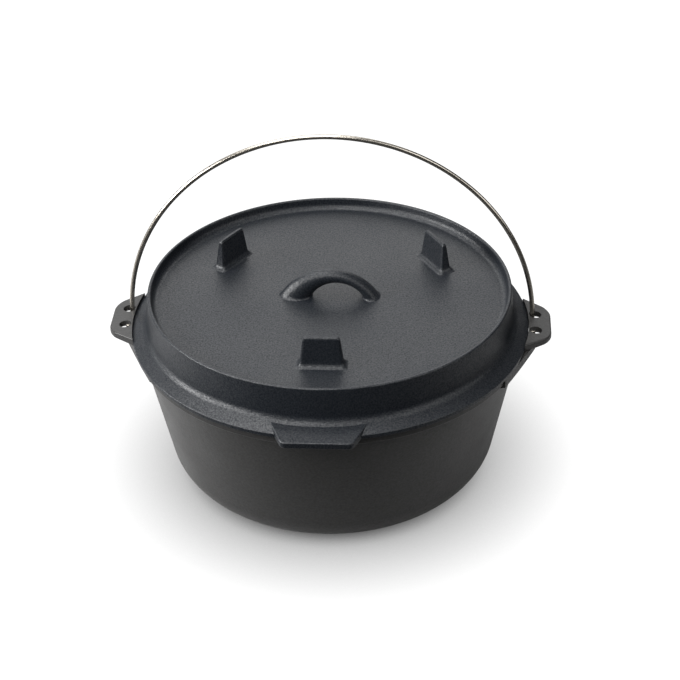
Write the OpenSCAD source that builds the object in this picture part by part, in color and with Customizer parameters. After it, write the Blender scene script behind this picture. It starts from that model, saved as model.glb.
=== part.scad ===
// Camp dutch oven: a flat-based cast-iron pot with two ears, a flanged lid that turns over
// into a pan on its own feet, and a wire bail hooked through the ears.
// Millimetres, +Z up. The origin is on the ground under the pot's axis, the ears lie on the
// X axis and the lid's lifting tab points towards -Y.

/* [Pot] */
// Inside diameter of the mouth
mouth_d = 305; // [240:1:360]
// Height of the rim above the ground
pot_h = 130; // [100:1:160]
// Thickness of the cast wall
wall_t = 5.7; // [4:0.1:7]
// Thickness of the base
base_t = 6; // [4:0.5:9]
// Lean of the wall from the vertical, in degrees
wall_lean = 11.6; // [6:0.1:15]
// Outside radius between the base and the wall
base_corner_r = 36; // [20:1:45]
// Reach of the rim bead beyond the wall
rim_reach = 2.9; // [2:0.1:5]
// Height of the rim bead
rim_h = 6; // [4:0.5:9]

/* [Ears] */
// Thickness of an ear
ear_t = 7.1; // [5.5:0.1:9]
// Depth by which an ear laps into its gussets
ear_lap = 0.5; // [0.3:0.1:1]
// Length of an ear where it leaves the rim
ear_root = 72; // [64:1:90]
// Length of the straight outer edge of an ear
ear_flat = 25; // [20:1:34]
// Radius of an ear's outer corners
ear_corner_r = 16; // [8:1:18]
// Metal between the bail holes and the ear's outer edge
ear_edge = 7.6; // [4:0.1:9]
// Diameter of the bail holes
hole_d = 10; // [9:0.1:12]
// Distance between the two bail holes of one ear
hole_pitch = 24; // [22:0.1:28]
// Metal between a bail hole and the lid's flange
hole_wall = 0.8; // [0.8:0.1:3]
// Chamfer round the bail holes
hole_chamfer = 1.5; // [0.5:0.1:1.8]
// Angle from the ear's middle to the far end of its gussets
gusset_span = 28; // [24:1:34]
// Thickness of a gusset's outer edge at the ear
gusset_edge = 4; // [3:0.5:6]
// Depth of a gusset under the edge of the lid
gusset_t = 8; // [6.5:0.5:10]
// Reach of a gusset beyond the lid, where it carries the ear
gusset_reach = 7; // [5:0.5:9]
// Reach of a gusset beyond the lid at its far end
gusset_end = 0.9; // [0.5:0.1:2]

/* [Lid] */
// Reach of the flange beyond the pot's mouth
flange_w = 11.4; // [10:0.1:16]
// Thickness of the flange at its edge
flange_t = 2.4; // [2:0.1:5]
// Rise of the flange's underside from the rim to its edge
flange_relief = 1.6; // [0:0.1:2.5]
// Rise of the flange's top from its edge to its root
flange_crown = 2.5; // [1:0.1:4]
// Gap between the flange and the ears
lid_gap = 0.4; // [0.4:0.1:1.5]
// Height of the lid's lip above the pot's rim
lid_h = 38; // [30:0.5:48]
// Radius by which the lip's outside lies within the mouth
lip_inset = 3.3; // [1:0.1:6]
// Draft of the lid's side, in degrees
lid_draft = 4.4; // [2:0.1:8]
// Thickness of the lid's side
lid_wall_t = 5.5; // [4:0.1:8]
// Radius between the lid's side and its flange
flange_fillet_r = 4.5; // [3:0.5:6]
// Width of the lip
lip_t = 2.8; // [2:0.1:4]
// Depth of the top plate below the lip
plate_drop = 9.2; // [6:0.1:12]
// Thickness of the top plate
plate_t = 5; // [4:0.5:8]
// Radius between the top plate and the lip
basin_r = 4; // [2:0.5:5]
// Radius between the lid's side and the underside of its plate
hollow_r = 8; // [4:0.5:12]
// Depth of the locating skirt inside the mouth
skirt_h = 6; // [4:0.5:10]
// Gap between the locating skirt and the mouth
skirt_gap = 2; // [1:0.1:3]

/* [Lifting tab] */
// Reach of the tab beyond the flange
tab_reach = 10.2; // [6:0.1:14]
// Width of the tab where it leaves the lid's side
tab_root = 74; // [60:1:90]
// Length of the tab's straight outer edge
tab_flat = 48; // [36:1:56]
// Radius of the tab's corners
tab_corner_r = 5; // [3:0.5:7]
// Thickness of the tab at its outer edge
tab_t = 5.5; // [4.5:0.1:6.3]
// Height of the tab's top above the flange's top at its root
tab_rise = 0.4; // [0.2:0.1:0.8]

/* [Feet] */
// Angle from the front foot to each of the other two
foot_spread = 122; // [110:1:130]
// Radius from the lid's axis to the middle of a foot
foot_ring_r = 101.5; // [80:1:115]
// Width of a foot at the plate
foot_w = 35; // [28:1:44]
// Width of the straight top edge of a foot
foot_flat = 24; // [18:1:26]
// Thickness of a foot at the plate
foot_d = 10; // [9:0.5:14]
// Height of a foot above the plate
foot_h = 25.3; // [20:0.5:30]
// Lean of a foot's inner and outer faces, in degrees
foot_lean = 7.4; // [3:0.1:8]
// Radius of a foot's top corners
foot_corner_r = 2.5; // [1:0.5:4]
// Radius between a foot and the plate
foot_fillet_r = 3; // [1:0.5:4]

/* [Loop handle] */
// Length of the handle at the plate
handle_l = 82; // [70:1:110]
// Height of the handle above the plate
handle_h = 24.5; // [20:0.5:34]
// Thickness of the bar, front to back and at the crown
handle_t = 11; // [8:0.5:13]
// Length of the finger opening at the plate
handle_gap = 43; // [34:1:48]
// Offset of the finger opening from the lid's axis
handle_shift = 6.5; // [0:0.5:8]

/* [Bail] */
// Diameter of the wire
wire_d = 4; // [3:0.1:5]
// Gap between the wire and the inner side of its hole
wire_gap = 0.5; // [0.3:0.05:1]
// Distance by which the hook runs nearer to the web than the middle of the holes
hook_bias = 0.3; // [0:0.1:1]
// Angle that the hook bends through under the web
hook_angle = 195; // [185:1:200]
// Height of the bail's pivot below the middle of the ear's thickness
pivot_drop = 1.55; // [0:0.05:2.5]
// Angle of the bow that each hook's leg takes up, in degrees
leg_angle = 8; // [6:0.5:10]

/* [Hidden] */
$fn = 96;

iron = "#2d2e30";
stainless = "#cdccc8";
eps = 0.01;
over = 1;
proud = 0.03;
gusset_clear = 0.5;

// Pot
mouth_r = mouth_d / 2;
wall_run = wall_t / cos(wall_lean);
wall_r = mouth_r + wall_run;
rim_r = wall_r + rim_reach;
cavity_corner_r = base_corner_r - wall_t;

// Lid
flange_r = mouth_r + flange_w;
flange_edge_low = pot_h + flange_relief;
flange_edge_high = flange_edge_low + flange_t;
flange_top = flange_edge_high + flange_crown;
flange_edge_r = flange_t / 3;
lip_r = mouth_r - lip_inset;
lip_z = pot_h + lid_h;
plate_z = lip_z - plate_drop;
skirt_r = mouth_r - skirt_gap;
side_slope = tan(lid_draft);
crown_r0 = side_r(flange_top + flange_fillet_r) + flange_fillet_r / cos(lid_draft);
crown_run = flange_r - flange_edge_r - crown_r0;
crown_arc_r = (crown_run * crown_run + flange_crown * flange_crown) / (2 * flange_crown);
hollow_mouth_r = side_r(pot_h - skirt_h) - lid_wall_t / cos(lid_draft);
hollow_h = plate_z - plate_t - (pot_h - skirt_h);
tab_r = flange_r + tab_reach;
tab_root_y = side_r(flange_top);

// Ears
ear_z = pot_h - ear_lap;
recess_r = flange_r + lid_gap;
hole_y = hole_pitch / 2;
hole_ring_r = recess_r + hole_wall + hole_d / 2;
hole_x = sqrt(hole_ring_r * hole_ring_r - hole_y * hole_y);
ear_x = hole_x + hole_d / 2 + ear_edge;
ear_root_x = sqrt(recess_r * recess_r - ear_root * ear_root / 4);
gusset_r = recess_r + gusset_reach;
gusset_slope = (gusset_t - gusset_edge) / (gusset_r - flange_r);
gusset_in_y = hole_y + hole_d / 2 + hole_chamfer + gusset_clear;
gusset_ear_angle = asin((ear_flat / 2 + ear_corner_r + gusset_clear) / gusset_r);

// Handle: the bar lies between an outer arc and an inner arc
handle_outer_r = arc_radius(handle_l, handle_h);
handle_inner_h = handle_h - handle_t;
handle_inner_r = arc_radius(handle_gap, handle_inner_h);

// Bail
bail_r = hole_x - (hole_d - wire_d) / 2 + wire_gap;
hook_r = hole_y - hook_bias;
pivot_z = ear_z + ear_t / 2 - pivot_drop;

// Radius of the arc that spans a chord with a given rise
function arc_radius(chord, rise) = (chord * chord / 4 + rise * rise) / (2 * rise);

// Outside radius of the lid's side at a height
function side_r(z) = lip_r + (lip_z - z) * side_slope;

// Point at a radius and an angle
function polar(r, a) = [r * cos(a), r * sin(a)];

// Half section of a round bowl that narrows downwards, with a rounded corner above its floor
module bowl_section(top_r, top_z, floor_z, lean, corner_r) {
    corner_z = floor_z + corner_r;
    corner_x = top_r - (top_z - corner_z) * tan(lean) - corner_r / cos(lean);
    corner = [corner_x, corner_z];
    touch = corner + polar(corner_r, -lean);
    polygon([[0, floor_z], [corner_x, floor_z], touch, [top_r, top_z], [0, top_z]]);
    translate(corner) circle(corner_r);
}

// Fillet between a floor at height z and a wall that leaves it at x and leans away by lean
module cove(x, z, lean, r) {
    centre = [x - r * tan(lean) + r / cos(lean), z + r];
    touch = centre - polar(r, lean);
    difference() {
        polygon([[x - r, z - over], [centre[0], z - over], [centre[0], z], touch, [x - r, touch[1]]]);
        translate(centre) circle(r);
    }
}

// Outline of a lug on the line y = 0: straight sides run in to a shorter edge with round corners,
// which stand a hair proud of the straight edges so that they cross them
module lug_outline(root, flat, reach, corner_r) {
    corner = [flat / 2, reach - corner_r];
    to_root = [root / 2, 0] - corner;
    flush_r = corner_r - proud;
    side = atan2(to_root[1], to_root[0]) + acos(flush_r / norm(to_root));
    touch = corner + polar(flush_r, side);
    polygon([
        [-root / 2, 0], [root / 2, 0], touch, [corner[0], reach - proud],
        [-corner[0], reach - proud], [-touch[0], touch[1]]
    ]);
    for (s = [-1, 1]) translate([s * corner[0], corner[1]]) circle(corner_r);
}

// Half section of the pot's wall, base and rim bead
module pot_section() {
    bead_low = pot_h - rim_h;
    difference() {
        union() {
            bowl_section(wall_r, pot_h, 0, wall_lean, base_corner_r);
            polygon([
                [mouth_r, bead_low - rim_reach - rim_h * tan(wall_lean)], [rim_r, bead_low],
                [rim_r, pot_h], [mouth_r, pot_h]
            ]);
        }
        bowl_section(mouth_r + over * tan(wall_lean), pot_h + over, base_t, wall_lean, cavity_corner_r);
    }
}

// One ear on the +X side, with its two bail holes
module ear() {
    difference() {
        translate([ear_root_x, 0, ear_z]) linear_extrude(ear_t)
            rotate(-90) lug_outline(ear_root, ear_flat, ear_x - ear_root_x, ear_corner_r);
        translate([0, 0, ear_z - over]) cylinder(r = recess_r, h = ear_t + 2 * over, $fn = 180);
        for (s = [-1, 1]) translate([hole_x, s * hole_y, ear_z]) bail_hole();
    }
}

// Hole through an ear's thickness, chamfered at both ends
module bail_hole() {
    rim_d = hole_d + 2 * hole_chamfer;
    translate([0, 0, -over]) cylinder(d = hole_d, h = ear_t + 2 * over);
    translate([0, 0, -eps]) cylinder(d1 = rim_d + 2 * eps, d2 = hole_d, h = hole_chamfer + eps);
    translate([0, 0, ear_t - hole_chamfer]) cylinder(d1 = hole_d, d2 = rim_d + 2 * eps, h = hole_chamfer + eps);
}

// Gusset that carries the rear end of the +X ear: a conical underside cut to a straight edge
module gusset() {
    wall_mid_r = mouth_r + wall_run / 2;
    depth = (gusset_edge + gusset_slope * (gusset_r - wall_mid_r)) / (1 - gusset_slope * tan(wall_lean));
    at_ear = polar(gusset_r, gusset_ear_angle);
    at_rim = polar(flange_r + gusset_end, gusset_span);
    intersection() {
        rotate_extrude($fn = 180) polygon([
            [wall_mid_r, pot_h], [gusset_r + over, pot_h],
            [gusset_r + over, pot_h - gusset_edge + over * gusset_slope],
            [wall_mid_r - depth * tan(wall_lean), pot_h - depth]
        ]);
        linear_extrude(pot_h + over) polygon([
            [gusset_in_y / tan(gusset_span), gusset_in_y], [at_ear[0], gusset_in_y], at_ear, at_rim
        ]);
    }
}

module pot() {
    color(iron) {
        rotate_extrude($fn = 180) pot_section();
        for (turn = [0, 180]) rotate(turn) {
            ear();
            gusset();
            mirror([0, 1, 0]) gusset();
        }
    }
}

// Half section of the flange: a flat seat, a relieved underside and a crowned top meet a rounded edge
module flange_section() {
    edge_x = flange_r - flange_edge_r;
    round_low = flange_edge_low + flange_edge_r;
    round_high = flange_edge_high - flange_edge_r;
    difference() {
        polygon([
            [skirt_r, pot_h], [rim_r, pot_h], [edge_x, flange_edge_low],
            [edge_x, flange_top], [skirt_r, flange_top]
        ]);
        difference() {
            translate([crown_r0, flange_edge_high]) square([crown_run + over, flange_crown + over]);
            translate([crown_r0, flange_top - crown_arc_r]) circle(crown_arc_r);
        }
    }
    for (z = [round_low, round_high]) translate([edge_x, z]) circle(flange_edge_r);
    translate([edge_x - eps, round_low]) square([flange_edge_r + eps, round_high - round_low]);
    cove(side_r(flange_top), flange_top, lid_draft, flange_fillet_r);
}

// Half section of the lid without its tab, feet and handle
module lid_section() {
    lip_round_z = lip_z - lip_t / 2;
    basin_top_r = lip_r - lip_t;
    difference() {
        union() {
            polygon([[0, pot_h], [side_r(pot_h), pot_h], [side_r(lip_round_z), lip_round_z], [0, lip_round_z]]);
            translate([0, pot_h - skirt_h]) square([skirt_r, skirt_h + over]);
            flange_section();
        }
        bowl_section(basin_top_r, lip_z + over, plate_z, lid_draft, basin_r);
        translate([0, pot_h - skirt_h - eps]) mirror([0, 1])
            bowl_section(hollow_mouth_r, 0, -hollow_h - eps, lid_draft, hollow_r);
    }
    translate([lip_r - lip_t / 2, lip_round_z]) circle(d = lip_t);
}

// Lifting tab on the front of the flange; its top falls gently towards the outer edge
module lifting_tab() {
    intersection() {
        translate([0, -tab_root_y, pot_h]) linear_extrude(flange_top + tab_rise + over - pot_h)
            rotate(180) lug_outline(tab_root, tab_flat, tab_r - tab_root_y, tab_corner_r);
        rotate([90, 0, -90]) translate([0, 0, -tab_root]) linear_extrude(2 * tab_root) polygon([
            [tab_root_y - over, pot_h - over], [tab_r + over, pot_h - over],
            [tab_r + over, pot_h + tab_t], [tab_root_y - over, flange_top + tab_rise]
        ]);
    }
}

// One foot at the plate's middle, facing +X: a tapered blade with a flared root
module foot() {
    side_lean = atan2((foot_w - foot_flat) / 2 - foot_corner_r, foot_h);
    intersection() {
        rotate([90, 0, 90]) translate([0, 0, -foot_d]) linear_extrude(2 * foot_d) {
            lug_outline(foot_w, foot_flat, foot_h, foot_corner_r);
            translate([-foot_w / 2, -over]) square([foot_w, over + eps]);
            for (s = [0, 1]) mirror([s, 0]) cove(foot_w / 2, 0, side_lean, foot_fillet_r);
        }
        rotate([90, 0, 0]) translate([0, 0, -foot_w]) linear_extrude(2 * foot_w) {
            blade = foot_d / 2 - foot_h * tan(foot_lean);
            polygon([[-foot_d / 2, -over], [foot_d / 2, -over], [blade, foot_h], [-blade, foot_h]]);
            for (s = [0, 1]) mirror([s, 0]) cove(foot_d / 2, 0, foot_lean, foot_fillet_r);
        }
    }
}

// Loop handle along X: a disc with a round rim, less a finger hole with a round rim
module lid_handle() {
    bar_r = handle_t / 2;
    color(iron) translate([0, 0, plate_z]) intersection() {
        translate([-handle_l, -handle_t, 0]) cube([2 * handle_l, 2 * handle_t, handle_h + over]);
        difference() {
            translate([0, 0, handle_h - handle_outer_r]) rotate([90, 0, 0]) rotate_extrude() {
                translate([0, -bar_r]) square([handle_outer_r - bar_r, handle_t]);
                intersection() {
                    translate([handle_outer_r - bar_r, 0]) circle(bar_r);
                    translate([0, -bar_r]) square([handle_outer_r + over, handle_t]);
                }
            }
            translate([handle_shift, 0, handle_inner_h - handle_inner_r]) rotate([90, 0, 0]) rotate_extrude()
                difference() {
                    translate([0, -bar_r - over]) square([handle_inner_r + bar_r, handle_t + 2 * over]);
                    translate([handle_inner_r + bar_r, 0]) circle(bar_r);
                }
        }
    }
}

module lid() {
    color(iron) {
        rotate_extrude($fn = 180) lid_section();
        lifting_tab();
        for (turn = [-foot_spread, 0, foot_spread])
            rotate(turn - 90) translate([foot_ring_r, 0, plate_z]) foot();
    }
}

// Part of the bail's half-circle, from one angle above the right-hand pivot to another
module bow_arc(from, to) {
    translate([0, hook_r, pivot_z]) rotate([90, 0, 0]) rotate(from)
        rotate_extrude(angle = to - from, $fn = 180) translate([bail_r, 0]) circle(d = wire_d, $fn = 32);
}

// Bow of the bail between the legs of its hooks
module bail() {
    color(stainless) bow_arc(leg_angle, 180 - leg_angle);
}

// Hook at the right end of the bail, with the leg that runs up into the bow
module bail_hook_right() {
    color(stainless) {
        bow_arc(0, leg_angle);
        translate([bail_r, 0, pivot_z]) {
            rotate([90, 0, 90]) rotate(-hook_angle)
                rotate_extrude(angle = hook_angle) translate([hook_r, 0]) circle(d = wire_d, $fn = 32);
            translate([0, hook_r, 0]) sphere(d = wire_d + 2 * proud, $fn = 32);
        }
    }
}

module bail_hook_left() {
    mirror([1, 0, 0]) bail_hook_right();
}

pot();
lid();
lid_handle();
bail();
bail_hook_right();
bail_hook_left();
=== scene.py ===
"""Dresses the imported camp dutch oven: an iron pot, a footed iron lid and a wire bail in a white studio."""

import logging
import math
from dataclasses import dataclass
from enum import Enum
from typing import Any, Iterable, Sequence

import bmesh
import bpy
from bmesh.types import BMEdge, BMesh, BMFace, BMVert
from bpy.types import Material, Node, NodeSocket, NodeTree, Object
from mathutils import Matrix, Vector


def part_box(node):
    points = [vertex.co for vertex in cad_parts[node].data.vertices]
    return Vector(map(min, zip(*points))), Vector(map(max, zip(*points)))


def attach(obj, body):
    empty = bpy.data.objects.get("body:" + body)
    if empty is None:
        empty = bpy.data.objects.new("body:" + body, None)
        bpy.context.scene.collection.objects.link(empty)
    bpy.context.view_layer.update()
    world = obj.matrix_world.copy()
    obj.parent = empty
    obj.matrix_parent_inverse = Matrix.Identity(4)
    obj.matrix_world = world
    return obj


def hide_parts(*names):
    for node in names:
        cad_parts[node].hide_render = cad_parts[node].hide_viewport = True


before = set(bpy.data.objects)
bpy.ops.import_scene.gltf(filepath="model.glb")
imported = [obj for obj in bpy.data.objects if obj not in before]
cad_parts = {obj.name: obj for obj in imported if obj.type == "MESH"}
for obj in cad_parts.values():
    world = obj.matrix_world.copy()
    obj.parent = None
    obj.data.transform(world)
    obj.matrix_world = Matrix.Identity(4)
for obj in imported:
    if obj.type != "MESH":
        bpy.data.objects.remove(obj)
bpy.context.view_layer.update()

MM = 0.001
# Vertices closer than this are one, and edges flatter than this are level.
MERGE_MM = 1e-4
# A vertex closer than this lies on the axis.
AXIS_MM = 1e-6
# Faces that meet at less than this angle become one.
FLAT = math.radians(0.1)
# How far a cutting tool stands past what it cuts.
OVERCUT_MM = 1.0
# How far a boss is sunk into the plate that carries it.
SINK_MM = 0.2
# Faces across the softened rim of a plate.
RIM_STEPS = 4
# Range that most values of a noise texture lie in.
NOISE_LOW, NOISE_HIGH = 0.3, 0.7
log = logging.getLogger("camp_oven")


class Axis(Enum):
    """Axes that bodies are turned about."""

    X = (1.0, 0.0, 0.0)
    Y = (0.0, 1.0, 0.0)
    Z = (0.0, 0.0, 1.0)


class Join(Enum):
    """Ways of joining two closed bodies."""

    ADD = "UNION"
    CUT = "DIFFERENCE"


class Ease(Enum):
    """Ways in which a brightness goes from one level to the next."""

    STRAIGHT = "LINEAR"
    SMOOTH = "SMOOTHSTEP"


@dataclass(frozen=True)
class Corner:
    """A corner of an outline, in millimetres, and the radius that rounds it."""

    x: float
    y: float
    radius: float = 0.0
    steps: int = 6


@dataclass(frozen=True)
class Ramp:
    """A change of brightness along an axis: where it starts and ends, and its levels there."""

    axis: str
    span: tuple[float, float]
    levels: tuple[float, float]


@dataclass(frozen=True)
class SoftBox:
    """A soft lamp: its place, width and height in metres, and its power in watts."""

    name: str
    place: tuple[float, float, float]
    size: tuple[float, float]
    power: float


def node_box(node: str) -> tuple[Vector, Vector]:
    """Lowest and highest corner of a CAD node, in millimetres."""
    low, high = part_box(node)
    return low / MM, high / MM


def linear(colour: str) -> tuple[float, float, float, float]:
    """Turn an sRGB hex colour into a linear one.

    Args:
        colour: Six hex digits after a hash.

    Returns:
        Red, green, blue and an alpha of one.
    """
    parts = [int(colour[i : i + 2], 16) / 255 for i in (1, 3, 5)]
    red, green, blue = (p / 12.92 if p <= 0.04045 else ((p + 0.055) / 1.055) ** 2.4 for p in parts)
    return red, green, blue, 1.0


def add_node(tree: NodeTree, kind: str, settings: dict[str, Any], **inputs: Any) -> Node:
    """Add a node with its settings, and fill or link its inputs.

    Args:
        tree: Node tree that gets the node.
        kind: Type name of the node.
        settings: Attributes to set on the node.
        inputs: Values or output sockets by input name, with underscores for spaces.

    Returns:
        The new node.
    """
    node = tree.nodes.new(kind)
    for name, value in settings.items():
        setattr(node, name, value)
    for name, value in inputs.items():
        key = int(name[3:]) if name.startswith("in_") else name.replace("_", " ")
        if isinstance(value, NodeSocket):
            tree.links.new(value, node.inputs[key])
        else:
            node.inputs[key].default_value = value
    return node


def round_corners(bm: BMesh, corners: Iterable[tuple[BMVert, Corner]]) -> None:
    """Round the corners of a flat face.

    Args:
        bm: Mesh that holds the face.
        corners: Vertices of the face with the corner each one stands for.
    """
    for vert, corner in corners:
        if not corner.radius:
            continue
        a, b = (e.other_vert(vert).co - vert.co for e in vert.link_edges)
        bmesh.ops.bevel(
            bm,
            geom=[vert],
            offset=corner.radius / math.tan(a.angle(b) / 2),
            offset_type="OFFSET",
            affect="VERTICES",
            segments=corner.steps,
            profile=0.5,
            material=-1,
        )


def outline_face(bm: BMesh, corners: Sequence[Corner], place: Matrix) -> BMFace:
    """Make a flat face with rounded corners.

    Args:
        bm: Mesh that gets the face.
        corners: Outline in the XY plane.
        place: Transform from that plane.

    Returns:
        The face.
    """
    verts = [bm.verts.new(place @ Vector((c.x, c.y, 0.0))) for c in corners]
    bm.faces.new(verts)
    round_corners(bm, list(zip(verts, corners, strict=True)))
    bm.faces.ensure_lookup_table()
    return bm.faces[-1]


def tidy(bm: BMesh) -> None:
    """Merge doubled vertices and turn all faces outwards."""
    bmesh.ops.remove_doubles(bm, verts=bm.verts[:], dist=MERGE_MM)
    bmesh.ops.recalc_face_normals(bm, faces=bm.faces[:])


def turned(corners: Sequence[Corner], steps: int) -> BMesh:
    """Turn a half section about the Z axis into a closed body.

    Args:
        corners: Half section, with its first and last corner on the axis.
        steps: Number of steps in the full turn.

    Returns:
        Mesh of the body, in millimetres.
    """
    bm = bmesh.new()
    face = outline_face(bm, corners, Matrix.Rotation(math.pi / 2, 4, "X"))
    bmesh.ops.delete(bm, geom=[face], context="FACES_ONLY")
    on_axis = [e for e in bm.edges if all(abs(v.co.x) < AXIS_MM for v in e.verts)]
    bmesh.ops.delete(bm, geom=on_axis, context="EDGES")
    bmesh.ops.spin(
        bm,
        geom=bm.verts[:] + bm.edges[:],
        cent=(0, 0, 0),
        axis=Axis.Z.value,
        angle=math.tau,
        steps=steps,
        use_merge=True,
    )
    tidy(bm)
    bmesh.ops.dissolve_limit(bm, angle_limit=FLAT, verts=bm.verts[:], edges=bm.edges[:])
    return bm


def round_edges(bm: BMesh, edges: Sequence[BMEdge], radius: float, steps: int) -> None:
    """Round some edges.

    Args:
        bm: Mesh that holds the edges.
        edges: Edges to round.
        radius: Distance from the edge at which the rounding starts.
        steps: Number of faces across the rounding.
    """
    bmesh.ops.bevel(
        bm,
        geom=list(edges),
        offset=radius,
        offset_type="OFFSET",
        affect="EDGES",
        segments=steps,
        profile=0.5,
        material=-1,
    )


def slab(corners: Sequence[Corner], low: float, high: float, edge: float) -> BMesh:
    """Make a plate with rounded corners and softened rims.

    Args:
        corners: Outline seen from above.
        low: Height of the underside.
        high: Height of the top.
        edge: Radius of the rims.

    Returns:
        Mesh of the plate, in millimetres.
    """
    bm = bmesh.new()
    face = outline_face(bm, corners, Matrix.Translation((0, 0, low)))
    made = bmesh.ops.extrude_face_region(bm, geom=[face])["geom"]
    top = [g for g in made if isinstance(g, BMVert)]
    bmesh.ops.translate(bm, verts=top, vec=(0, 0, high - low))
    tidy(bm)
    rims = [e for e in bm.edges if abs(e.verts[0].co.z - e.verts[1].co.z) < MERGE_MM]
    round_edges(bm, rims, edge, RIM_STEPS)
    return bm


def as_object(bm: BMesh, name: str) -> Object:
    """Make an object in metres from a mesh in millimetres, and free the mesh.

    Args:
        bm: Mesh in millimetres.
        name: Name of the object.

    Returns:
        The linked object.
    """
    bmesh.ops.scale(bm, verts=bm.verts[:], vec=(MM, MM, MM))
    mesh = bpy.data.meshes.new(name)
    bm.to_mesh(mesh)
    bm.free()
    obj = bpy.data.objects.new(name, mesh)
    bpy.context.scene.collection.objects.link(obj)
    return obj


def combine(body: Object, tool: Object, join: Join) -> None:
    """Join a tool to a body for good and remove the tool.

    Args:
        body: Object that changes.
        tool: Object that is added or cut away.
        join: What to do with the tool.
    """
    step = body.modifiers.new("join", "BOOLEAN")
    step.operation = join.value
    step.solver = "EXACT"
    step.object = tool
    depsgraph = bpy.context.evaluated_depsgraph_get()
    mesh = bpy.data.meshes.new_from_object(body.evaluated_get(depsgraph))
    body.modifiers.clear()
    body.data = mesh
    bpy.data.objects.remove(tool)


@dataclass(frozen=True)
class SeasonedIron:
    """Grey cast iron, sand cast, blasted and seasoned with baked oil.

    The eye sees a near-black satin skin with the fine pebbled grain of the mould, faintly uneven in gloss.
    Moulding sand is 0.2 to 0.4 mm: too fine to show here, so the grain is drawn a few times coarser.
    """

    name: str
    dark: str
    light: str
    grain_mm: float
    grain_depth_mm: float
    sand_mm: float
    sand_depth_mm: float
    patch_mm: float
    smooth: float
    rough: float
    specular: float
    speckle: float

    def material(self) -> Material:
        """Build the material from noise of three sizes.

        Returns:
            The material.
        """
        made = bpy.data.materials.new(self.name)
        made.use_nodes = True
        tree = made.node_tree
        shader = tree.nodes["Principled BSDF"]
        place = add_node(tree, "ShaderNodeTexCoord", {}).outputs["Object"]
        noise = "ShaderNodeTexNoise"
        patch = add_node(tree, noise, {}, Vector=place, Scale=1 / (self.patch_mm * MM), Detail=3.0)
        sand = add_node(tree, noise, {}, Vector=place, Scale=1 / (self.sand_mm * MM), Detail=2.0)
        grain = add_node(
            tree, noise, {}, Vector=place, Scale=1 / (self.grain_mm * MM), Detail=2.0, Roughness=0.6
        )
        tone = add_node(
            tree,
            "ShaderNodeMix",
            {"data_type": "RGBA"},
            Factor=patch.outputs["Fac"],
            in_6=linear(self.dark),
            in_7=linear(self.light),
        )
        gloss = add_node(
            tree,
            "ShaderNodeMapRange",
            {},
            Value=patch.outputs["Fac"],
            From_Min=NOISE_LOW,
            From_Max=NOISE_HIGH,
            To_Min=self.smooth,
            To_Max=self.rough,
        )
        hollows = add_node(
            tree,
            "ShaderNodeBump",
            {},
            Height=sand.outputs["Fac"],
            Strength=1.0,
            Distance=self.sand_depth_mm * MM,
        )
        pebbles = add_node(
            tree,
            "ShaderNodeBump",
            {},
            Height=grain.outputs["Fac"],
            Strength=1.0,
            Distance=self.grain_depth_mm * MM,
            Normal=hollows.outputs["Normal"],
        )
        sheen = add_node(
            tree,
            "ShaderNodeMapRange",
            {},
            Value=grain.outputs["Fac"],
            From_Min=NOISE_LOW,
            From_Max=NOISE_HIGH,
            To_Min=self.specular * (1 - self.speckle),
            To_Max=self.specular * (1 + self.speckle),
        )
        tree.links.new(sheen.outputs["Result"], shader.inputs["Specular IOR Level"])
        tree.links.new(tone.outputs[2], shader.inputs["Base Color"])
        tree.links.new(gloss.outputs["Result"], shader.inputs["Roughness"])
        tree.links.new(pebbles.outputs["Normal"], shader.inputs["Normal"])
        return made


@dataclass(frozen=True)
class DrawnStainless:
    """Austenitic stainless wire, drawn bright through a die.

    The eye sees a bright, slightly warm metal whose gloss varies faintly from place to place. The die's marks
    are a few hundredths of a millimetre: too fine to show here, so the change of gloss is drawn coarser.
    """

    name: str
    tint: str
    smooth: float
    rough: float
    mark_mm: float

    def material(self) -> Material:
        """Build the material from a faint change of gloss.

        Returns:
            The material.
        """
        made = bpy.data.materials.new(self.name)
        made.use_nodes = True
        tree = made.node_tree
        shader = tree.nodes["Principled BSDF"]
        place = add_node(tree, "ShaderNodeTexCoord", {}).outputs["Object"]
        marks = add_node(
            tree, "ShaderNodeTexNoise", {}, Vector=place, Scale=1 / (self.mark_mm * MM), Detail=2.0
        )
        gloss = add_node(
            tree,
            "ShaderNodeMapRange",
            {},
            Value=marks.outputs["Fac"],
            From_Min=NOISE_LOW,
            From_Max=NOISE_HIGH,
            To_Min=self.smooth,
            To_Max=self.rough,
        )
        shader.inputs["Base Color"].default_value = linear(self.tint)
        shader.inputs["Metallic"].default_value = 1.0
        tree.links.new(gloss.outputs["Result"], shader.inputs["Roughness"])
        return made


def dress(obj: Object, finish: SeasonedIron | DrawnStainless, crease: float) -> None:
    """Shade a body smooth with its creases kept sharp, and give it its finish.

    Args:
        obj: Body to dress.
        finish: What it is made of.
        crease: Smallest angle of a crease.
    """
    obj.data.shade_smooth()
    obj.data.set_sharp_from_angle(angle=crease)
    even = obj.modifiers.new("even_normals", "WEIGHTED_NORMAL")
    even.keep_sharp = True
    obj.data.materials.clear()
    obj.data.materials.append(finish.material())


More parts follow.
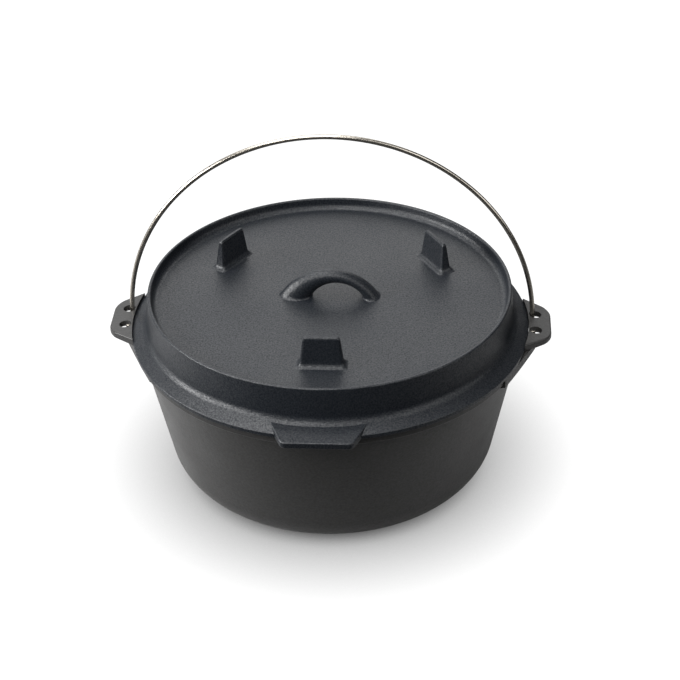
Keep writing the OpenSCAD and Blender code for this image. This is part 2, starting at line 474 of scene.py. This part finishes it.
@dataclass
class Pot:
    """The pot's casting: turned body, two ears with bail holes and four gussets. Sizes in millimetres."""

    finish: SeasonedIron
    ear_rise: float = 6.6
    ear_t: float = 7.1
    mouth_r: float = 152.5
    wall_run: float = 5.82
    base_t: float = 6.0
    lean: float = math.radians(11.6)
    base_round: float = 36.0
    cavity_round: float = 30.3
    bead_reach: float = 2.9
    bead_h: float = 6.0
    bead_root_round: float = 1.2
    bead_round: float = 1.5
    rim_round: float = 0.8
    ear_flat: float = 25.0
    ear_round: float = 16.0
    ear_edge: float = 1.1
    ear_root: tuple[float, float] = (160.3, 36.0)
    ear_in_x: float = 154.0
    recess_r: float = 164.1
    recess_flare: float = 0.4
    ear_fall: float = math.radians(7.0)
    hole: tuple[float, float] = (169.68, 12.0)
    hole_r: float = 5.0
    hole_edge: float = 1.5
    gusset_r: float = 171.3
    gusset_edge_t: float = 4.0
    gusset_slope: float = 0.54
    gusset_start: float = math.radians(4)
    gusset_span: float = math.radians(28)
    gusset_sink: float = 2.5
    gusset_ends: tuple[tuple[float, float], tuple[float, float]] = ((168.83, 29.0), (145.5, 77.37))
    gusset_trims: tuple[float, float] = (1.8, 4.6)
    gusset_in_y: float = 19.0
    crease: float = math.radians(32)
    steps: int = 224
    hole_steps: int = 40
    gusset_steps: int = 24

    def __post_init__(self) -> None:
        """Take the ears' reach and the heights from the frame."""
        _, high = node_box("pot")
        self.ear_x, self.ear_top = high.x, high.z
        self.ear_low = self.ear_top - self.ear_t
        self.rim_z = self.ear_top - self.ear_rise
        self.wall_r = self.mouth_r + self.wall_run
        self.bead_r = self.wall_r + self.bead_reach
        self.bead_low = self.rim_z - self.bead_h

    def wall(self, z: float, top_r: float) -> float:
        """Radius of a leaning face at a height."""
        return top_r - (self.rim_z - z) * math.tan(self.lean)

    def body(self) -> Object:
        """Turn the base, wall and rim bead.

        Returns:
            The turned body.
        """
        root_z = self.bead_low - self.bead_reach
        section = (
            Corner(0, 0),
            Corner(self.wall(0, self.wall_r), 0, self.base_round, steps=14),
            Corner(self.wall(root_z, self.wall_r), root_z, self.bead_root_round, steps=3),
            Corner(self.bead_r, self.bead_low, self.bead_round, steps=4),
            Corner(self.bead_r, self.rim_z, self.rim_round, steps=3),
            Corner(self.mouth_r, self.rim_z, self.rim_round, steps=3),
            Corner(self.wall(self.base_t, self.mouth_r), self.base_t, self.cavity_round, steps=12),
            Corner(0, self.base_t),
        )
        return as_object(turned(section, self.steps), "pot_body")

    def ear(self, name: str) -> Object:
        """Make the ear on the +X side, with its recess for the lid and its bail holes.

        Args:
            name: Name of the ear.

        Returns:
            The ear.
        """
        root_x, root_y = self.ear_root
        centre_x, centre_y = self.ear_x - self.ear_round, self.ear_flat / 2
        reach = Vector((root_x - centre_x, root_y - centre_y))
        side = math.atan2(reach.y, reach.x) - math.acos(self.ear_round / reach.length)
        touch = Vector((centre_x, centre_y)) + self.ear_round * Vector((math.cos(side), math.sin(side)))
        run = (touch - Vector((root_x, root_y))).normalized()
        tip_y = root_y + run.y * (self.ear_x - root_x) / run.x
        inner_x, inner_y = self.ear_in_x, root_y + run.y * (self.ear_in_x - root_x) / run.x
        outline = (
            Corner(inner_x, -inner_y),
            Corner(self.ear_x, -tip_y, self.ear_round, steps=10),
            Corner(self.ear_x, tip_y, self.ear_round, steps=10),
            Corner(inner_x, inner_y),
        )
        bm = slab(outline, self.ear_low, self.ear_top, self.ear_edge)
        for vert in bm.verts:
            if vert.co.z > self.ear_top - self.ear_t / 2:
                vert.co.z -= max(vert.co.x - self.recess_r, 0.0) * math.tan(self.ear_fall)
        plate = as_object(bm, name)
        low, high = self.ear_low - OVERCUT_MM, self.ear_top + OVERCUT_MM
        flare = self.recess_flare
        recess = turned(
            (
                Corner(0, low),
                Corner(self.recess_r, low),
                Corner(self.recess_r, self.ear_top - flare),
                Corner(self.recess_r + flare, self.ear_top),
                Corner(self.recess_r + flare, high),
                Corner(0, high),
            ),
            self.steps,
        )
        combine(plate, as_object(recess, "recess"), Join.CUT)
        for sign in (-1, 1):
            bore = self.bore()
            bmesh.ops.translate(bore, verts=bore.verts[:], vec=(self.hole[0], sign * self.hole[1], 0))
            combine(plate, as_object(bore, "bore"), Join.CUT)
        return plate

    def bore(self) -> BMesh:
        """Make the tool that cuts a bail hole with rounded rims.

        Returns:
            Mesh of the tool, on the Z axis.
        """
        low, high, wide = self.ear_low, self.ear_top, self.hole_r + self.hole_edge + OVERCUT_MM
        return turned(
            (
                Corner(0, low - OVERCUT_MM),
                Corner(wide, low - OVERCUT_MM),
                Corner(wide, low),
                Corner(self.hole_r, low, self.hole_edge),
                Corner(self.hole_r, high, self.hole_edge),
                Corner(wide, high),
                Corner(wide, high + OVERCUT_MM),
                Corner(0, high + OVERCUT_MM),
            ),
            self.hole_steps,
        )

    def gusset(self, name: str, trim: float) -> Object:
        """Make the gusset behind the +X ear: a conical underside cut to a straight edge.

        Args:
            name: Name of the gusset.
            trim: How far its straight edge is ground back.

        Returns:
            The gusset.
        """
        bm = bmesh.new()
        start = Matrix.Rotation(self.gusset_start, 4, "Z") @ Matrix.Rotation(math.pi / 2, 4, "X")
        outer, inner = self.gusset_r + OVERCUT_MM, self.mouth_r + self.wall_run / 2
        low = self.rim_z - self.gusset_edge_t
        foot = low - (self.gusset_r - inner) * self.gusset_slope
        section = (
            Corner(inner, self.rim_z),
            Corner(outer, self.rim_z),
            Corner(outer, low + self.gusset_slope),
            Corner(inner - self.gusset_sink, foot),
        )
        bmesh.ops.spin(
            bm,
            geom=[outline_face(bm, section, start)],
            cent=(0, 0, 0),
            axis=Axis.Z.value,
            angle=self.gusset_span - self.gusset_start,
            steps=self.gusset_steps,
            use_merge=False,
        )
        tidy(bm)
        (ax, ay), (bx, by) = self.gusset_ends
        out = Vector((by - ay, ax - bx, 0)).normalized()
        cuts = (
            ((0, self.gusset_in_y, 0), (0, -1, 0)),
            ((ax, 0, 0), (1, 0, 0)),
            (Vector((ax, ay, 0)) - trim * out, out),
        )
        for point, normal in cuts:
            whole = bm.verts[:] + bm.edges[:] + bm.faces[:]
            bmesh.ops.bisect_plane(bm, geom=whole, plane_co=point, plane_no=normal, clear_outer=True)
            bmesh.ops.holes_fill(bm, edges=[e for e in bm.edges if e.is_boundary])
        tidy(bm)
        return as_object(bm, name)

    def build(self) -> Object:
        """Join the body, ears and gussets into one casting.

        Returns:
            The casting.
        """
        pot = self.body()
        for side, turn, trim in zip(("right", "left"), (0.0, math.pi), self.gusset_trims, strict=True):
            ear = self.ear(f"ear_{side}")
            parts = [ear]
            for end, sign in (("rear", 1), ("front", -1)):
                gusset = self.gusset(f"gusset_{side}_{end}", trim)
                if sign < 0:
                    gusset.data.transform(Matrix.Scale(-1, 4, (0, 1, 0)))
                    gusset.data.flip_normals()
                parts.append(gusset)
            for part in parts:
                part.data.transform(Matrix.Rotation(turn, 4, "Z"))
                combine(pot, part, Join.ADD)
        pot.name = "pot_casting"
        dress(pot, self.finish, self.crease)
        return pot


@dataclass
class Lid:
    """The lid's casting: turned body, lifting tab, three feet and a loop handle. Sizes in millimetres."""

    finish: SeasonedIron
    skirt_h: float = 6.0
    skirt_r: float = 150.5
    hollow_mouth_r: float = 147.07
    lip_h: float = 38.0
    lip_r: float = 149.2
    lip_t: float = 2.8
    lip_round: float = 1.3
    plate_t: float = 5.0
    draft: float = math.radians(4.4)
    basin_round: float = 5.0
    hollow_round: float = 8.0
    flange_rise: float = 9.6
    flange_fillet: float = 7.5
    edge: tuple[float, float] = (0.4, 3.6)
    edge_rounds: tuple[float, float] = (0.45, 0.9)
    skirt_root_round: float = 0.6
    skirt_round: float = 0.9
    seat_r: float = 161.2
    tab_root: tuple[float, float] = (37.0, 151.6)
    tab_corner: tuple[float, float] = (27.3, 5.0)
    tab_rise: tuple[float, float] = (8.0, 5.2)
    tab_sink: float = 3.0
    tab_edge: float = 1.0
    foot_ring: float = 101.5
    foot_spread: float = math.radians(122)
    foot_half: tuple[float, float] = (17.5, 5.0)
    foot_top_half: tuple[float, float] = (14.4, 1.72)
    foot_flare: float = 4.0
    foot_round: float = 3.4
    foot_crown: tuple[float, float, float] = (2.4, 1.15, 2.2)
    handle_bar: float = 5.5
    handle_gap: float = 21.5
    handle_shift: float = 6.5
    handle_flare: float = 2.5
    handle_spread: float = 0.6
    crease: float = math.radians(32)
    steps: int = 224
    foot_steps: tuple[int, int] = (5, 6)
    handle_steps: int = 40
    handle_sides: int = 32

    def __post_init__(self) -> None:
        """Take the heights and reaches from the frame."""
        low, high = node_box("lid")
        handle_low, handle_high = node_box("lid_handle")
        self.flange_r, self.tab_y = high.x, -low.y
        self.seat_z = low.z + self.skirt_h
        self.lip_z = self.seat_z + self.lip_h
        self.flange_top = self.seat_z + self.flange_rise
        self.plate_z = handle_low.z
        self.foot_h = high.z - self.plate_z
        self.handle_half, self.handle_h = handle_high.x, handle_high.z - self.plate_z
        self.handle_rise = self.handle_h - 2 * self.handle_bar

    def side(self, z: float) -> float:
        """Outside radius of the lid's side at a height."""
        return self.lip_r + (self.lip_z - z) * math.tan(self.draft)

    def body(self) -> Object:
        """Turn the plate, lip, side, flange and skirt.

        Returns:
            The turned body.
        """
        slope = math.tan(self.draft)
        basin = self.lip_r - self.lip_t - (self.lip_z - self.plate_z) * slope
        hollow_in, skirt_r, skirt_z = self.hollow_mouth_r, self.skirt_r, self.seat_z - self.skirt_h
        under = self.plate_z - self.plate_t
        section = (
            Corner(0, self.plate_z),
            Corner(basin, self.plate_z, self.basin_round, steps=8),
            Corner(self.lip_r - self.lip_t, self.lip_z, self.lip_round, steps=5),
            Corner(self.lip_r, self.lip_z, self.lip_round, steps=5),
            Corner(self.side(self.flange_top), self.flange_top, self.flange_fillet, steps=12),
            Corner(self.flange_r, self.seat_z + self.edge[1], self.edge_rounds[1], steps=4),
            Corner(self.flange_r, self.seat_z + self.edge[0], self.edge_rounds[0], steps=4),
            Corner(self.seat_r, self.seat_z),
            Corner(skirt_r, self.seat_z, self.skirt_root_round, steps=3),
            Corner(skirt_r, skirt_z, self.skirt_round, steps=4),
            Corner(hollow_in, skirt_z, self.skirt_round, steps=4),
            Corner(hollow_in - (under - skirt_z) * slope, under, self.hollow_round, steps=8),
            Corner(0, under),
        )
        return as_object(turned(section, self.steps), "lid_body")

    def tab(self) -> Object:
        """Make the lifting tab at the front.

        Returns:
            The tab.
        """
        root_x, root_y = self.tab_root
        tip_x, tip_round = self.tab_corner
        inner_y = root_y - self.tab_sink
        inner_x = root_x + self.tab_sink * (root_x - tip_x) / (self.tab_y - root_y)
        bm = slab(
            (
                Corner(-inner_x, -inner_y),
                Corner(-tip_x, -self.tab_y, tip_round, steps=8),
                Corner(tip_x, -self.tab_y, tip_round, steps=8),
                Corner(inner_x, -inner_y),
            ),
            self.seat_z,
            self.seat_z + self.tab_rise[1],
            self.tab_edge,
        )
        middle = self.seat_z + self.tab_rise[1] / 2
        bulge = self.tab_rise[0] - self.tab_rise[1]
        for vert in bm.verts:
            if vert.co.z > middle:
                vert.co.z += bulge * (1 - ((-vert.co.y - inner_y) / (self.tab_y - inner_y)) ** 2)
        return as_object(bm, "tab")

    def foot(self, turn: float) -> Object:
        """Make a tapered blade foot with a flared root.

        Args:
            turn: Angle of the foot about the lid's axis, from the front.

        Returns:
            The foot.
        """
        bm = bmesh.new()
        wide, deep = self.foot_half
        crown_w, crown_d, crown_h = self.foot_crown
        root_steps, crown_steps = self.foot_steps
        rings = []
        for step in range(root_steps + 1):
            bend = math.pi / 2 * step / root_steps
            out = self.foot_flare * (1 - math.sin(bend))
            sink = 0.0 if step else SINK_MM
            rings.append((self.foot_flare * (1 - math.cos(bend)) - sink, out, out))
        for step in range(crown_steps + 1):
            bend = math.pi / 2 * step / crown_steps
            inwards = 1 - math.cos(bend)
            height = self.foot_h - crown_h * (1 - math.sin(bend))
            rings.append((height, -crown_w * inwards, -crown_d * inwards))
        sizes = []
        for z, out_w, out_d in rings:
            share = max(z, 0.0) / self.foot_h
            half_w = wide + (self.foot_top_half[0] - wide) * share + out_w
            half_d = deep + (self.foot_top_half[1] - deep) * share + out_d
            sizes.append((z, half_w, half_d))
        z, half_w, half_d = sizes[0]
        signs = ((-1, -1), (1, -1), (1, 1), (-1, 1))
        outline = [Corner(sx * half_w, sy * half_d, self.foot_round, steps=5) for sx, sy in signs]
        face = outline_face(bm, outline, Matrix.Translation((0, 0, z)))
        for (z0, w0, d0), (z1, w1, d1) in zip(sizes, sizes[1:]):
            made = bmesh.ops.extrude_face_region(bm, geom=[face])["geom"]
            face = next(g for g in made if isinstance(g, BMFace))
            bmesh.ops.translate(bm, verts=face.verts[:], vec=(0, 0, z1 - z0))
            bmesh.ops.scale(bm, verts=face.verts[:], vec=(w1 / w0, d1 / d0, 1))
        tidy(bm)
        place = Matrix.Rotation(turn, 4, "Z") @ Matrix.Translation((0, -self.foot_ring, self.plate_z))
        bmesh.ops.transform(bm, matrix=place, verts=bm.verts[:])
        return as_object(bm, "foot")

    def handle(self) -> Object:
        """Sweep the loop handle between its outer and inner arcs.

        Returns:
            The handle.
        """
        outer_r = (self.handle_half**2 + self.handle_h**2) / (2 * self.handle_h)
        inner_r = (self.handle_gap**2 + self.handle_rise**2) / (2 * self.handle_rise)
        outer_low = math.asin((outer_r - self.handle_h) / outer_r)
        inner_low = math.asin((inner_r - self.handle_rise) / inner_r)
        bm = bmesh.new()
        rings: list[list[BMEdge]] = []
        for step in range(self.handle_steps + 1):
            share = 0.5 - 0.5 * math.cos(math.pi * step / self.handle_steps)
            outer = math.pi - outer_low - share * (math.pi - 2 * outer_low)
            inner = math.pi - inner_low - share * (math.pi - 2 * inner_low)
            top = Vector((outer_r * math.cos(outer), 0, outer_r * math.sin(outer) + self.handle_h - outer_r))
            low = Vector(
                (
                    inner_r * math.cos(inner) + self.handle_shift,
                    0,
                    inner_r * math.sin(inner) + self.handle_rise - inner_r,
                )
            )
            rings.append(self.handle_ring(bm, top, low))
        for a, b in zip(rings, rings[1:]):
            bmesh.ops.bridge_loops(bm, edges=a + b)
        for end in (rings[0], rings[-1]):
            bmesh.ops.contextual_create(bm, geom=end)
        tidy(bm)
        bmesh.ops.translate(bm, verts=bm.verts[:], vec=(0, 0, self.plate_z - SINK_MM))
        return as_object(bm, "handle")

    def handle_ring(self, bm: BMesh, top: Vector, low: Vector) -> list[BMEdge]:
        """Make one section of the handle: an oval between two points, flared at the plate.

        Args:
            bm: Mesh that gets the ring.
            top: Point on the outer arc.
            low: Point on the inner arc.

        Returns:
            Edges of the ring.
        """
        along = (top - low) / 2
        centre = (top + low) / 2
        height = min(max(centre.z, 0.0), self.handle_flare)
        flare = self.handle_flare - math.sqrt(self.handle_flare**2 - (self.handle_flare - height) ** 2)
        ring = bmesh.ops.create_circle(bm, cap_ends=False, segments=self.handle_sides, radius=1.0)["verts"]
        depth = self.handle_bar * (1 + self.handle_spread * (1 - centre.z / self.handle_h)) + flare
        for vert in ring:
            across = Vector((0, vert.co.y * depth, 0))
            vert.co = centre + along * vert.co.x * (1 + flare / along.length) + across
        inside = set(ring)
        return [e for e in {e for v in ring for e in v.link_edges} if set(e.verts) <= inside]

    def build(self) -> Object:
        """Join the body, tab, feet and handle into one casting.

        Returns:
            The casting.
        """
        lid = self.body()
        parts = [self.tab(), self.handle()]
        parts += [self.foot(turn) for turn in (-self.foot_spread, 0.0, self.foot_spread)]
        for part in parts:
            combine(lid, part, Join.ADD)
        lid.name = "lid_casting"
        dress(lid, self.finish, self.crease)
        return lid


@dataclass
class Bail:
    """The bail: one bent wire with a hook at each end. Sizes in millimetres."""

    finish: DrawnStainless
    wire_r: float = 2.0
    bead_over: float = 0.07
    hook_turn: float = math.radians(195)
    tip_round: float = 0.5
    crease: float = math.radians(40)
    sides: int = 20
    hook_steps: int = 40
    bow_steps: int = 160
    tip_steps: int = 3

    def __post_init__(self) -> None:
        """Take the bends from the frame."""
        low, high = node_box("bail_hook_right")
        self.bow_r = high.x - self.wire_r - self.bead_over
        self.hook_r = -low.y - self.wire_r
        self.pivot_z = low.z + self.wire_r + self.hook_r

    def build(self) -> Object:
        """Bend the wire through one hook, the bow and the other hook.

        Returns:
            The wire.
        """
        bm = bmesh.new()
        start = (
            Matrix.Translation((-self.bow_r, 0, self.pivot_z))
            @ Matrix.Rotation(-self.hook_turn, 4, "X")
            @ Matrix.Translation((0, self.hook_r, 0))
        )
        bmesh.ops.create_circle(bm, cap_ends=True, segments=self.sides, radius=self.wire_r, matrix=start)
        tip = next(iter(bm.faces))
        bends = (
            ((-self.bow_r, 0, self.pivot_z), Axis.X, self.hook_turn, self.hook_steps),
            ((0, self.hook_r, self.pivot_z), Axis.Y, math.pi, self.bow_steps),
            ((self.bow_r, 0, self.pivot_z), Axis.X, -self.hook_turn, self.hook_steps),
        )
        for centre, axis, angle, steps in bends:
            spun = bmesh.ops.spin(
                bm, geom=[tip], cent=centre, axis=axis.value, angle=angle, steps=steps, use_merge=False
            )
            tip = next(g for g in spun["geom_last"] if isinstance(g, BMFace))
        tidy(bm)
        ends = [e for f in bm.faces if len(f.verts) > 4 for e in f.edges]
        round_edges(bm, ends, self.tip_round, self.tip_steps)
        wire = as_object(bm, "bail_wire_form")
        dress(wire, self.finish, self.crease)
        return wire


@dataclass
class Studio:
    """White floor, soft lamps and the camera. Lengths in metres."""

    camera_place: tuple[float, float, float] = (0.0994, -1.3455, 1.0004)
    yaw: float = math.radians(3.9)
    tilt: float = math.radians(33.29)
    roll: float = math.radians(-1.24)
    focal_px: float = 1932.0
    image_px: float = 680.0
    sensor_mm: float = 36.0
    clip: tuple[float, float] = (0.05, 50.0)
    floor_half_mm: float = 4000.0
    floor_tone: str = "#505050"
    floor_glow: float = 1.0
    # Reach and samples of the ambient occlusion that paints shade into the floor's white glow by the oven.
    painted_shade_reach: float = 0.088
    painted_shade_samples: int = 16
    aim: tuple[float, float, float] = (0.0, 0.0, 0.12)
    # The floor's colour for what it lights is painted darker in front and far to the right: painted shade.
    painted_floor_shade: tuple[Ramp, ...] = (
        Ramp("X", (-0.3, 0.3), (0.48, 0.58)),
        Ramp("Y", (-0.26, -0.06), (0.08, 1.0)),
        Ramp("X", (0.26, 0.5), (1.0, 0.35)),
    )
    # The room is darker in front and on the right.
    sky: tuple[Ramp, ...] = (Ramp("Y", (-0.7, 0.5), (0.1, 0.45)), Ramp("X", (-0.1, 0.6), (1.0, 0.2)))
    lamps: tuple[SoftBox, ...] = (
        SoftBox("box_back", (-0.3, 1.9, 1.15), (2.2, 1.3), 12.0),
        SoftBox("box_left", (-1.5, -0.5, 0.72), (1.3, 0.6), 38.0),
        SoftBox("box_right", (1.6, -0.6, 0.7), (1.2, 0.6), 4.5),
        SoftBox("box_top", (-0.45, 0.1, 1.7), (1.4, 1.2), 23.0),
        SoftBox("box_front", (-0.35, -1.0, 1.35), (0.9, 0.4), 10.0),
        SoftBox("box_high", (0.95, -0.75, 1.4), (1.0, 0.9), 6.5),
    )

    def camera(self) -> None:
        """Set up the camera at the photograph's angle."""
        data = bpy.data.cameras.new("camera")
        data.sensor_width = self.sensor_mm
        data.lens = self.focal_px / self.image_px * self.sensor_mm
        data.clip_start, data.clip_end = self.clip
        obj = bpy.data.objects.new("camera", data)
        bpy.context.scene.collection.objects.link(obj)
        facing = (
            Matrix.Rotation(self.yaw, 4, "Z")
            @ Matrix.Rotation(math.pi / 2 - self.tilt, 4, "X")
            @ Matrix.Rotation(self.roll, 4, "Z")
        )
        obj.matrix_world = Matrix.Translation(self.camera_place) @ facing
        bpy.context.scene.camera = obj

    def brightness(self, tree: NodeTree, place: NodeSocket, ramps: Sequence[Ramp], ease: Ease) -> NodeSocket:
        """Multiply the ramps of a brightness.

        Args:
            tree: Node tree that gets the nodes.
            place: Socket with the place or direction that the ramps run along.
            ramps: Changes along the axes.
            ease: How each one goes from level to level.

        Returns:
            Socket with the brightness.
        """
        along = add_node(tree, "ShaderNodeSeparateXYZ", {}, Vector=place)
        total: NodeSocket | float = 1.0
        for ramp in ramps:
            level = add_node(
                tree,
                "ShaderNodeMapRange",
                {"interpolation_type": ease.value},
                Value=along.outputs[ramp.axis],
                From_Min=ramp.span[0],
                From_Max=ramp.span[1],
                To_Min=ramp.levels[0],
                To_Max=ramp.levels[1],
            )
            total = add_node(
                tree, "ShaderNodeMath", {"operation": "MULTIPLY"}, in_0=total, in_1=level.outputs["Result"]
            ).outputs[0]
        return total

    def floor(self) -> None:
        """Lay the floor: white for the camera, with real lamp shadows and painted shade by the oven; dimmer,
        with painted shade in front and to the right, for what it lights.
        """
        bm = bmesh.new()
        bmesh.ops.create_grid(bm, x_segments=1, y_segments=1, size=self.floor_half_mm)
        floor = as_object(bm, "floor")
        made = bpy.data.materials.new("white_paper_floor")
        made.use_nodes = True
        tree = made.node_tree
        tree.nodes.clear()
        seen = add_node(tree, "ShaderNodeLightPath", {}).outputs["Is Camera Ray"]
        place = add_node(tree, "ShaderNodeTexCoord", {}).outputs["Object"]
        # For the camera the floor has its own tone; for what it lights it takes the painted shade ramps.
        tone = add_node(
            tree,
            "ShaderNodeMix",
            {"data_type": "RGBA"},
            Factor=seen,
            in_6=self.brightness(tree, place, self.painted_floor_shade, Ease.STRAIGHT),
            in_7=linear(self.floor_tone),
        )
        paper = add_node(tree, "ShaderNodeBsdfDiffuse", {}, Color=tone.outputs[2])
        # Painted shade: the floor's white glow for the camera is darkened by ambient occlusion near the oven,
        # a painted soft shadow on top of the lamps' real shadows.
        painted_shade_occlusion = add_node(
            tree, "ShaderNodeAmbientOcclusion", {"samples": self.painted_shade_samples}, Distance=self.painted_shade_reach
        )
        times = {"operation": "MULTIPLY"}
        glow_with_painted_shade = add_node(tree, "ShaderNodeMath", times, in_0=painted_shade_occlusion.outputs["AO"], in_1=self.floor_glow)
        glow = add_node(tree, "ShaderNodeMath", times, in_0=seen, in_1=glow_with_painted_shade.outputs[0])
        lift = add_node(tree, "ShaderNodeEmission", {}, Color=linear("#ffffff"), Strength=glow.outputs[0])
        both = add_node(tree, "ShaderNodeAddShader", {}, in_0=paper.outputs[0], in_1=lift.outputs[0])
        add_node(tree, "ShaderNodeOutputMaterial", {}, Surface=both.outputs[0])
        floor.data.materials.append(made)

    def world(self) -> None:
        """Surround the oven with white for the camera, and with a dimmer sky for what it lights."""
        world = bpy.data.worlds.new("white_studio")
        bpy.context.scene.world = world
        world.use_nodes = True
        tree = world.node_tree
        tree.nodes.clear()
        seen = add_node(tree, "ShaderNodeLightPath", {}).outputs["Is Camera Ray"]
        place = add_node(tree, "ShaderNodeTexCoord", {}).outputs["Generated"]
        strength = self.brightness(tree, place, self.sky, Ease.SMOOTH)
        tone = linear("#ffffff")
        white = add_node(tree, "ShaderNodeBackground", {}, Color=tone, Strength=1.0)
        sky = add_node(tree, "ShaderNodeBackground", {}, Color=tone, Strength=strength)
        both = add_node(
            tree, "ShaderNodeMixShader", {}, in_0=seen, in_1=sky.outputs[0], in_2=white.outputs[0]
        )
        add_node(tree, "ShaderNodeOutputWorld", {}, Surface=both.outputs[0])

    def lamp(self, box: SoftBox) -> None:
        """Hang a soft box that faces the oven.

        Args:
            box: The lamp to hang.
        """
        data = bpy.data.lights.new(box.name, "AREA")
        data.shape = "RECTANGLE"
        data.size, data.size_y = box.size
        data.energy = box.power
        obj = bpy.data.objects.new(box.name, data)
        bpy.context.scene.collection.objects.link(obj)
        obj.location = box.place
        aim = Vector(self.aim) - Vector(box.place)
        obj.rotation_euler = aim.to_track_quat("-Z", "Y").to_euler()
        obj.visible_camera = False

    def build(self) -> None:
        """Set up the whole studio."""
        bpy.context.scene.view_settings.view_transform = "Standard"
        self.camera()
        self.floor()
        self.world()
        for box in self.lamps:
            self.lamp(box)


def main() -> None:
    """Build the oven and its studio, and log each piece's face count and the CAD nodes it stands for."""
    logging.basicConfig(level=logging.INFO, format="%(message)s")
    Studio().build()
    pot_iron = SeasonedIron(
        name="seasoned_cast_iron_smooth",
        dark="#272727",
        light="#2d2c2b",
        grain_mm=1.8,
        grain_depth_mm=0.12,
        sand_mm=7.0,
        sand_depth_mm=0.1,
        patch_mm=45.0,
        smooth=0.4,
        rough=0.5,
        specular=0.5,
        speckle=0.2,
    )
    lid_iron = SeasonedIron(
        name="seasoned_cast_iron_grainy",
        dark="#101419",
        light="#161a20",
        grain_mm=1.3,
        grain_depth_mm=0.25,
        sand_mm=6.0,
        sand_depth_mm=0.06,
        patch_mm=60.0,
        smooth=0.39,
        rough=0.47,
        specular=0.5,
        speckle=0.6,
    )
    stainless = DrawnStainless(
        name="drawn_stainless_wire", tint="#b8b2a8", smooth=0.22, rough=0.27, mark_mm=1.5
    )
    pieces = (
        (Pot(pot_iron).build(), ("pot",), "pot_iron"),
        (Lid(lid_iron).build(), ("lid", "lid_handle"), "lid_iron"),
        (Bail(stainless).build(), ("bail", "bail_hook_right", "bail_hook_left"), "bail_wire"),
    )
    for piece, nodes, slot in pieces:
        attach(piece, nodes[0])
        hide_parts(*nodes)
        log.info("%s: %d faces, stands for %s", piece.name, len(piece.data.polygons), nodes)


if __name__ == "__main__":
    main()
